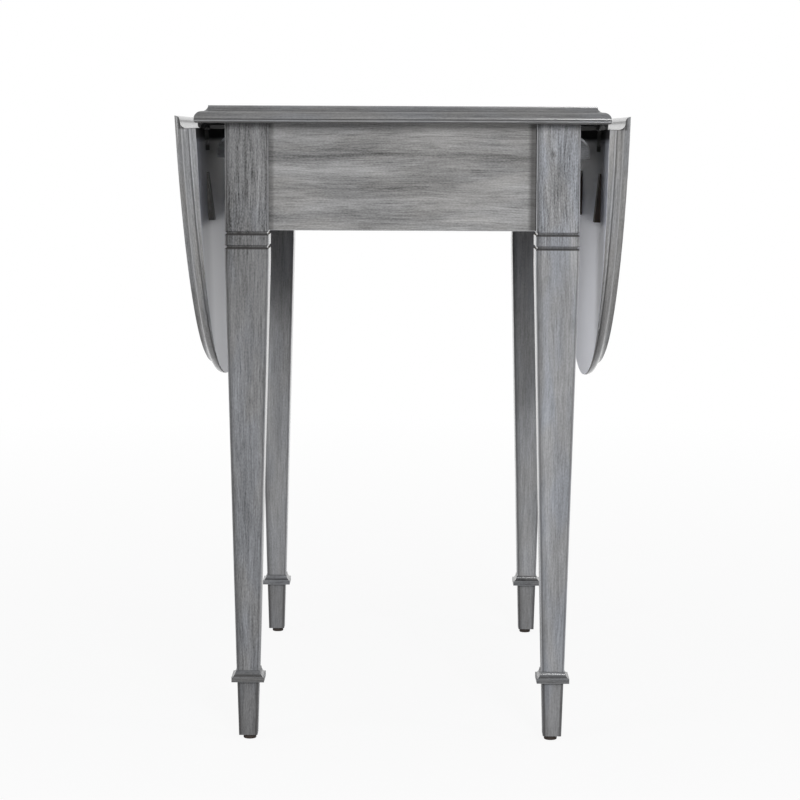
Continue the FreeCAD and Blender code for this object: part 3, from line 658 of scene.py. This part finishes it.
def zinc(name):
    """Bright plated steel with fine scratches."""
    t = Tree(name)
    x, y, z = t.place()
    scratch = t.noise(t.join(t.times(x, zinc_scratch_squeeze), y, z), scale=zinc_scratch_scale)
    colour = t.mix(scratch, *(grey(tone, cool) for tone, cool in zinc_greys))
    return t.done(Base_Color=colour, Metallic=1.0, Normal=t.bump(scratch, "zinc"),
                  Roughness=t.spread(scratch, *noise_range, *zinc_roughness))


def brown_plastic(name):
    """Dark moulded plastic with a fine texture."""
    t = Tree(name)
    speck = t.noise(t.model_place(), detail=3.0, roughness=0.6, scale=plastic_speck_scale)
    return t.done(Base_Color=t.mix(speck, *plastic_tints), Normal=t.bump(speck, "plastic"),
                  Roughness=t.spread(speck, *noise_range, *plastic_roughness))


# Painting the pieces

def paint(name, material):
    mesh = nodes[name].data
    mesh.materials.clear()
    mesh.materials.append(material)


for number, (corner, look) in enumerate(leg_looks.items()):
    low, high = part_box("leg_" + corner)
    seed = leg_seed + number * leg_seed_step
    paint("leg_" + corner, leg_wood("leg_wood_" + corner, seed, (low + high) / 2, **look))
    seed = collar_seed + number * collar_seed_step
    paint("collar_" + corner, collar_wood("collar_wood_" + corner, collar_tones[corner], seed))
    paint("glide_" + corner, brown_plastic("glide_brown_" + corner))

paint("table_top", top_wood("top_wood", tone=0.145, seed=90))
paint("apron_front", apron_wood("apron_wood_front", "x", tone=0.208, seed=120))
paint("apron_back", apron_wood("apron_wood_back", "x", tone=0.215, seed=131))
for side_name in sides:
    paint("apron_" + side_name, apron_wood("apron_wood_" + side_name, "y", tone=0.2, seed=140))
# The two inner faces share one wash: the right one's far paler tone is painted light
paint("leaf_left", leaf_wood("left", tone=0.24, seed=150, inner_tone=0.39, gap=left_gap))
paint("leaf_right", leaf_wood("right", tone=0.225, seed=171, inner_tone=0.82))

bare_wood = plain_wood("bare_wood", bare_tint, "x", seed=200)
slide_woods = {side_name: slide_wood(side_name, tone) for side_name, tone in slide_painted_light_tones.items()}
wedge_woods = {side_name: plain_wood("wedge_wood_" + side_name, wedge_tints[side_name], "z", seed, gloss=0.4)
               for side_name, seed in wedge_seeds.items()}
iron = black_iron("black_iron")
zinc_steel = zinc("zinc_steel")
for name in nodes:
    side_name = name.rsplit("_", 1)[1]
    if name.startswith(("corner_block", "top_cleat", "guide_", "slide_stop")):
        paint(name, bare_wood)
    elif name.startswith("slide_"):
        paint(name, slide_woods[side_name])
    elif name.startswith("wedge"):
        paint(name, wedge_woods[side_name])
    elif name.startswith("hinge_screws") or name == "frame_screws":
        paint(name, zinc_steel)
    elif name.startswith("hinge"):
        paint(name, iron)


# Studio

def make_floor():
    """Pale floor: white to the camera with a faint share of its real light and shadow."""
    mesh = bpy.data.meshes.new("floor")
    corners = [(x * floor_half, y * floor_half, 0) for x, y in ((-1, -1), (1, -1), (1, 1), (-1, 1))]
    mesh.from_pydata(corners, [], [(0, 1, 2, 3)])
    floor = bpy.data.objects.new("floor", mesh)
    bpy.context.scene.collection.objects.link(floor)
    t = Tree("floor_white")
    x, y, _ = t.place()
    rays = t.add("LightPath")
    behind = t.times(t.spread(y, *floor_behind), rays.outputs["Is Glossy Ray"])
    seen = t.larger(rays.outputs["Is Camera Ray"], behind)
    share = t.times(seen, t.spread(t.length(x, y), *floor_glow_reach, floor_glow_least, 1.0))
    matt = t.add("BsdfDiffuse", {"Color": floor_matt})
    pale = t.add("BsdfDiffuse", {"Color": floor_pale})
    glow = t.add("Emission", {"Color": white, "Strength": 1.0})
    lit = t.add("MixShader", {0: seen, 1: matt.outputs[0], 2: pale.outputs[0]})
    both = t.add("MixShader", {0: share, 1: lit.outputs[0], 2: glow.outputs[0]})
    t.add("OutputMaterial", {"Surface": both.outputs[0]})
    mesh.materials.append(t.material)
    floor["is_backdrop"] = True


def make_world():
    """White to the camera and to reflections from behind the table, softer as light."""
    world = bpy.data.worlds.new("studio")
    world.use_nodes = True
    bpy.context.scene.world = world
    tree = world.node_tree
    tree.nodes.clear()

    def add(kind, **inputs):
        node = tree.nodes.new("ShaderNode" + kind)
        for key, value in inputs.items():
            socket = node.inputs[key.replace("_", " ")]
            if isinstance(value, bpy.types.NodeSocket):
                tree.links.new(value, socket)
            else:
                socket.default_value = value
        return node

    direction = add("SeparateXYZ", Vector=add("TexCoord").outputs["Generated"])
    rays = add("LightPath")
    gloss = add("MapRange", Value=direction.outputs[1], From_Min=front_depth, From_Max=behind_depth,
                To_Min=front_gloss, To_Max=1.0)
    soft = add("MapRange", Value=direction.outputs[2], From_Min=ambient_low_height,
               From_Max=ambient_high_height, To_Min=ambient * ambient_low_share,
               To_Max=ambient * ambient_high_share)
    lit = add("MapRange", Value=rays.outputs["Is Glossy Ray"], To_Min=soft.outputs[0],
              To_Max=gloss.outputs[0])
    level = add("MapRange", Value=rays.outputs["Is Camera Ray"], To_Min=lit.outputs[0], To_Max=1.0)
    background = add("Background", Strength=level.outputs[0], Color=white)
    add("OutputWorld", Surface=background.outputs[0])


def make_lamp(name, place, width, power):
    """Square soft lamp turned to the lamps' common aim."""
    data = bpy.data.lights.new(name, "AREA")
    data.shape = "SQUARE"
    data.size = width
    data.energy = power
    lamp = bpy.data.objects.new(name, data)
    lamp.location = place
    lamp.rotation_euler = (Vector(lamp_aim) - Vector(place)).to_track_quat("-Z", "Y").to_euler()
    bpy.context.scene.collection.objects.link(lamp)


def make_camera():
    """Long lens a little under the top's height, as in the photograph."""
    data = bpy.data.cameras.new("camera")
    data.sensor_width = film_width
    data.lens = focal_px * film_width / picture_px
    data.shift_y = -shift_px / picture_px
    camera = bpy.data.objects.new("camera", data)
    turn = (Matrix.Rotation(camera_yaw, 4, "Z") @ Matrix.Rotation(math.pi / 2 - camera_pitch, 4, "X")
            @ Matrix.Rotation(camera_roll, 4, "Z"))
    camera.matrix_world = Matrix.Translation(camera_place) @ turn
    bpy.context.scene.collection.objects.link(camera)
    bpy.context.scene.camera = camera


make_floor()
make_world()
for name, (place, width, power) in lamps.items():
    make_lamp(name, place, width, power)
make_camera()

bpy.context.scene.view_settings.view_transform = "Standard"

low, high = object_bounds()
